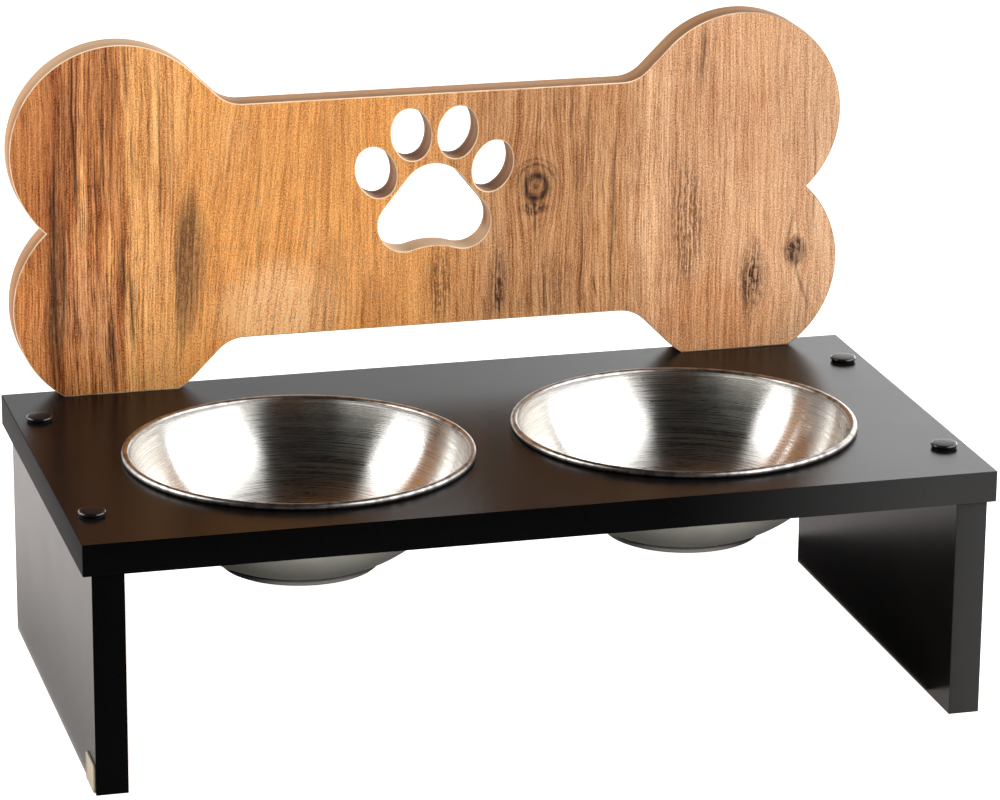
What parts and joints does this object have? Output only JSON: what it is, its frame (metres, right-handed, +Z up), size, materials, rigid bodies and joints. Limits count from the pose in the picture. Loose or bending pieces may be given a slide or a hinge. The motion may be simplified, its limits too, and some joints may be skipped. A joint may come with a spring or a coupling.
{
  "type": "dog feeder stand",
  "caption": "Raised feeder stand for a dog: a flat board on panel legs, steel bowls that lift out of round holes, and a bone-shaped backboard with a paw cut-out.",
  "frame": {"origin": "on the floor, under the middle of the stand's box", "axes": "+Z up, front towards -Y, +X to the right seen from the front"},
  "size_m": [0.52, 0.2796, 0.355],
  "materials": {
    "black_board": "satin black melamine on fibreboard",
    "bone_decor": "warm wood decor on fibreboard, with bare tan edges",
    "bowl_steel": "spun stainless steel, bright inside",
    "cap_plastic": "glossy black plastic",
    "screw_zinc": "zinc-plated steel",
    "badge": "bare tan plate"
  },
  "bodies": {
    "stand": {"top_board": "black_board", "left_leg": "black_board", "right_leg": "black_board", "bone_backboard": "bone_decor", "badge_plate": "badge", "screw_cap_front_left": "cap_plastic", "screw_cap_front_right": "cap_plastic", "screw_cap_back_left": "cap_plastic", "screw_cap_back_right": "cap_plastic", "leg_screw_front_left": "screw_zinc", "leg_screw_front_right": "screw_zinc", "leg_screw_back_left": "screw_zinc", "leg_screw_back_right": "screw_zinc", "bone_screw_left_outer": "screw_zinc", "bone_screw_left_inner": "screw_zinc", "bone_screw_right_inner": "screw_zinc", "bone_screw_right_outer": "screw_zinc"},
    "left_bowl": {"left_bowl": "bowl_steel"},
    "right_bowl": {"right_bowl": "bowl_steel"}
  },
  "joints": [
    {"name": "left_bowl_lift", "type": "slide", "parent": "stand", "child": "left_bowl", "axis": [0, 0, 1], "range_m": [0, 0.1]},
    {"name": "right_bowl_lift", "type": "slide", "parent": "stand", "child": "right_bowl", "axis": [0, 0, 1], "range_m": [0, 0.1]}
  ]
}
